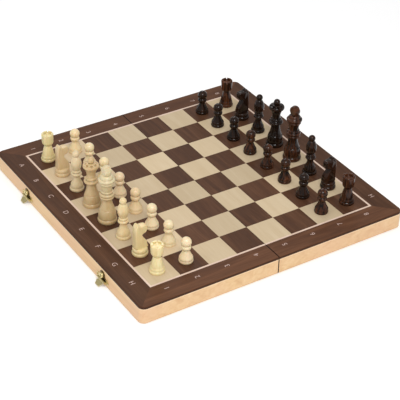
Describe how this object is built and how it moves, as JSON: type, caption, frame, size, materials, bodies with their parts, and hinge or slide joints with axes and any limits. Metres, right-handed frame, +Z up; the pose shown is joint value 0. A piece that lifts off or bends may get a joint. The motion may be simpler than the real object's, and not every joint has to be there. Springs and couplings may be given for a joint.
{
  "type": "folding chess set",
  "caption": "Wooden chess board in two hinged half trays that fold into a case with clasps, set out with turned chessmen",
  "frame": {"origin": "middle of the fold line, on the plane of the rims that the open board rests on", "axes": "+Z up out of the playing surface; +X from the light men's side to the dark men's side; +Y along the fold towards file A"},
  "size_m": [0.3925, 0.382, 0.1052],
  "materials": {
    "light_men": "satin varnish on pale wood",
    "dark_men": "gloss dark brown lacquer",
    "panel_core": "dark stained plywood",
    "dark_veneer": "satin walnut-brown veneer",
    "light_veneer": "satin maple veneer",
    "stringing": "satin pale inlay line",
    "rails": "satin beech",
    "brass_fittings": "polished thin brass",
    "fasteners": "brass-plated steel"
  },
  "bodies": {
    "white_half": {"clasp_nails": "fasteners", "clasp_pins": "fasteners", "clasp_plates": "brass_fittings", "hinge_pins": "fasteners", "white_side_border_veneer": "dark_veneer", "white_side_dark_squares": "dark_veneer", "white_side_end_rails": "rails", "white_side_hinge_leaves": "brass_fittings", "white_side_hinge_rail": "rails", "white_side_hinge_screws": "fasteners", "white_side_light_squares": "light_veneer", "white_side_outer_rail": "rails", "white_side_panel_core": "panel_core", "white_side_stringing": "stringing"},
    "black_half": {"black_side_border_veneer": "dark_veneer", "black_side_dark_squares": "dark_veneer", "black_side_end_rails": "rails", "black_side_hinge_leaves": "brass_fittings", "black_side_hinge_rail": "rails", "black_side_hinge_screws": "fasteners", "black_side_light_squares": "light_veneer", "black_side_outer_rail": "rails", "black_side_panel_core": "panel_core", "black_side_stringing": "stringing", "catch_nails": "fasteners", "catch_plates": "brass_fittings"},
    "rear_clasp": {"rear_clasp_flap": "brass_fittings"},
    "front_clasp": {"front_clasp_flap": "brass_fittings"},
    "black_bishop_c": {"black_bishop_c": "dark_men"},
    "black_bishop_f": {"black_bishop_f": "dark_men"},
    "black_king_e": {"black_king_e": "dark_men"},
    "black_knight_b": {"black_knight_b": "dark_men"},
    "black_knight_g": {"black_knight_g": "dark_men"},
    "black_pawn_a": {"black_pawn_a": "dark_men"},
    "black_pawn_b": {"black_pawn_b": "dark_men"},
    "black_pawn_c": {"black_pawn_c": "dark_men"},
    "black_pawn_d": {"black_pawn_d": "dark_men"},
    "black_pawn_e": {"black_pawn_e": "dark_men"},
    "black_pawn_f": {"black_pawn_f": "dark_men"},
    "black_pawn_g": {"black_pawn_g": "dark_men"},
    "black_pawn_h": {"black_pawn_h": "dark_men"},
    "black_queen_d": {"black_queen_d": "dark_men"},
    "black_rook_a": {"black_rook_a": "dark_men"},
    "black_rook_h": {"black_rook_h": "dark_men"},
    "white_bishop_c": {"white_bishop_c": "light_men"},
    "white_bishop_f": {"white_bishop_f": "light_men"},
    "white_king_e": {"white_king_e": "light_men"},
    "white_knight_b": {"white_knight_b": "light_men"},
    "white_knight_g": {"white_knight_g": "light_men"},
    "white_pawn_a": {"white_pawn_a": "light_men"},
    "white_pawn_b": {"white_pawn_b": "light_men"},
    "white_pawn_c": {"white_pawn_c": "light_men"},
    "white_pawn_d": {"white_pawn_d": "light_men"},
    "white_pawn_e": {"white_pawn_e": "light_men"},
    "white_pawn_f": {"white_pawn_f": "light_men"},
    "white_pawn_g": {"white_pawn_g": "light_men"},
    "white_pawn_h": {"white_pawn_h": "light_men"},
    "white_queen_d": {"white_queen_d": "light_men"},
    "white_rook_a": {"white_rook_a": "light_men"},
    "white_rook_h": {"white_rook_h": "light_men"}
  },
  "joints": [
    {"name": "board_fold", "type": "hinge", "parent": "white_half", "child": "black_half", "pos_m": [0, 0, 0], "axis": [0, 1, 0], "range_deg": [0, 180]},
    {"name": "rear_clasp_swing", "type": "hinge", "parent": "white_half", "child": "rear_clasp", "pos_m": [-0.1933, 0.1, 0.0056], "axis": [0, -1, 0], "range_deg": [-70, 50]},
    {"name": "front_clasp_swing", "type": "hinge", "parent": "white_half", "child": "front_clasp", "pos_m": [-0.1933, -0.1, 0.0056], "axis": [0, -1, 0], "range_deg": [-70, 50]},
    {"name": "black_bishop_c_lift", "type": "slide", "parent": "black_half", "child": "black_bishop_c", "axis": [0, 0, 1], "range_m": [0, 0.12]},
    {"name": "black_bishop_f_lift", "type": "slide", "parent": "black_half", "child": "black_bishop_f", "axis": [0, 0, 1], "range_m": [0, 0.12]},
    {"name": "black_king_e_lift", "type": "slide", "parent": "black_half", "child": "black_king_e", "axis": [0, 0, 1], "range_m": [0, 0.12]},
    {"name": "black_knight_b_lift", "type": "slide", "parent": "black_half", "child": "black_knight_b", "axis": [0, 0, 1], "range_m": [0, 0.12]},
    {"name": "black_knight_g_lift", "type": "slide", "parent": "black_half", "child": "black_knight_g", "axis": [0, 0, 1], "range_m": [0, 0.12]},
    {"name": "black_pawn_a_lift", "type": "slide", "parent": "black_half", "child": "black_pawn_a", "axis": [0, 0, 1], "range_m": [0, 0.12]},
    {"name": "black_pawn_b_lift", "type": "slide", "parent": "black_half", "child": "black_pawn_b", "axis": [0, 0, 1], "range_m": [0, 0.12]},
    {"name": "black_pawn_c_lift", "type": "slide", "parent": "black_half", "child": "black_pawn_c", "axis": [0, 0, 1], "range_m": [0, 0.12]},
    {"name": "black_pawn_d_lift", "type": "slide", "parent": "black_half", "child": "black_pawn_d", "axis": [0, 0, 1], "range_m": [0, 0.12]},
    {"name": "black_pawn_e_lift", "type": "slide", "parent": "black_half", "child": "black_pawn_e", "axis": [0, 0, 1], "range_m": [0, 0.12]},
    {"name": "black_pawn_f_lift", "type": "slide", "parent": "black_half", "child": "black_pawn_f", "axis": [0, 0, 1], "range_m": [0, 0.12]},
    {"name": "black_pawn_g_lift", "type": "slide", "parent": "black_half", "child": "black_pawn_g", "axis": [0, 0, 1], "range_m": [0, 0.12]},
    {"name": "black_pawn_h_lift", "type": "slide", "parent": "black_half", "child": "black_pawn_h", "axis": [0, 0, 1], "range_m": [0, 0.12]},
    {"name": "black_queen_d_lift", "type": "slide", "parent": "black_half", "child": "black_queen_d", "axis": [0, 0, 1], "range_m": [0, 0.12]},
    {"name": "black_rook_a_lift", "type": "slide", "parent": "black_half", "child": "black_rook_a", "axis": [0, 0, 1], "range_m": [0, 0.12]},
    {"name": "black_rook_h_lift", "type": "slide", "parent": "black_half", "child": "black_rook_h", "axis": [0, 0, 1], "range_m": [0, 0.12]},
    {"name": "white_bishop_c_lift", "type": "slide", "parent": "white_half", "child": "white_bishop_c", "axis": [0, 0, 1], "range_m": [0, 0.12]},
    {"name": "white_bishop_f_lift", "type": "slide", "parent": "white_half", "child": "white_bishop_f", "axis": [0, 0, 1], "range_m": [0, 0.12]},
    {"name": "white_king_e_lift", "type": "slide", "parent": "white_half", "child": "white_king_e", "axis": [0, 0, 1], "range_m": [0, 0.12]},
    {"name": "white_knight_b_lift", "type": "slide", "parent": "white_half", "child": "white_knight_b", "axis": [0, 0, 1], "range_m": [0, 0.12]},
    {"name": "white_knight_g_lift", "type": "slide", "parent": "white_half", "child": "white_knight_g", "axis": [0, 0, 1], "range_m": [0, 0.12]},
    {"name": "white_pawn_a_lift", "type": "slide", "parent": "white_half", "child": "white_pawn_a", "axis": [0, 0, 1], "range_m": [0, 0.12]},
    {"name": "white_pawn_b_lift", "type": "slide", "parent": "white_half", "child": "white_pawn_b", "axis": [0, 0, 1], "range_m": [0, 0.12]},
    {"name": "white_pawn_c_lift", "type": "slide", "parent": "white_half", "child": "white_pawn_c", "axis": [0, 0, 1], "range_m": [0, 0.12]},
    {"name": "white_pawn_d_lift", "type": "slide", "parent": "white_half", "child": "white_pawn_d", "axis": [0, 0, 1], "range_m": [0, 0.12]},
    {"name": "white_pawn_e_lift", "type": "slide", "parent": "white_half", "child": "white_pawn_e", "axis": [0, 0, 1], "range_m": [0, 0.12]},
    {"name": "white_pawn_f_lift", "type": "slide", "parent": "white_half", "child": "white_pawn_f", "axis": [0, 0, 1], "range_m": [0, 0.12]},
    {"name": "white_pawn_g_lift", "type": "slide", "parent": "white_half", "child": "white_pawn_g", "axis": [0, 0, 1], "range_m": [0, 0.12]},
    {"name": "white_pawn_h_lift", "type": "slide", "parent": "white_half", "child": "white_pawn_h", "axis": [0, 0, 1], "range_m": [0, 0.12]},
    {"name": "white_queen_d_lift", "type": "slide", "parent": "white_half", "child": "white_queen_d", "axis": [0, 0, 1], "range_m": [0, 0.12]},
    {"name": "white_rook_a_lift", "type": "slide", "parent": "white_half", "child": "white_rook_a", "axis": [0, 0, 1], "range_m": [0, 0.12]},
    {"name": "white_rook_h_lift", "type": "slide", "parent": "white_half", "child": "white_rook_h", "axis": [0, 0, 1], "range_m": [0, 0.12]}
  ]
}
